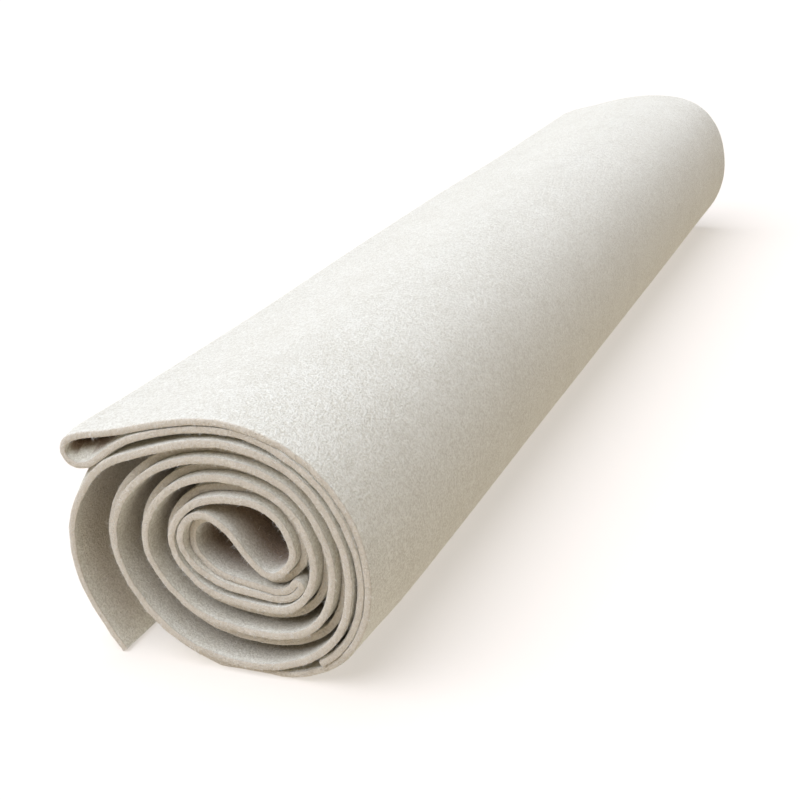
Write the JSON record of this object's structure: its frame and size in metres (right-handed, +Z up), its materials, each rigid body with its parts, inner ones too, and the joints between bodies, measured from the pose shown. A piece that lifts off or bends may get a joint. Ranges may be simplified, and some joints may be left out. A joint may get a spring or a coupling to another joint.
{
  "type": "roll of felt",
  "caption": "Loosely rolled length of thick soft felt, folded double, with an open fold along its top edge and a loose flap hanging beside it.",
  "frame": {"origin": "middle of the roll's footprint, on the surface it rests on", "axes": "+Z up; +Y along the roll, away from the end that the picture shows; +X across it, away from the loose flap"},
  "size_m": [0.0927, 0.4432, 0.0742],
  "materials": {
    "felt": "matt, softly napped"
  },
  "bodies": {
    "root": {"felt_roll": "felt"}
  },
  "joints": []
}
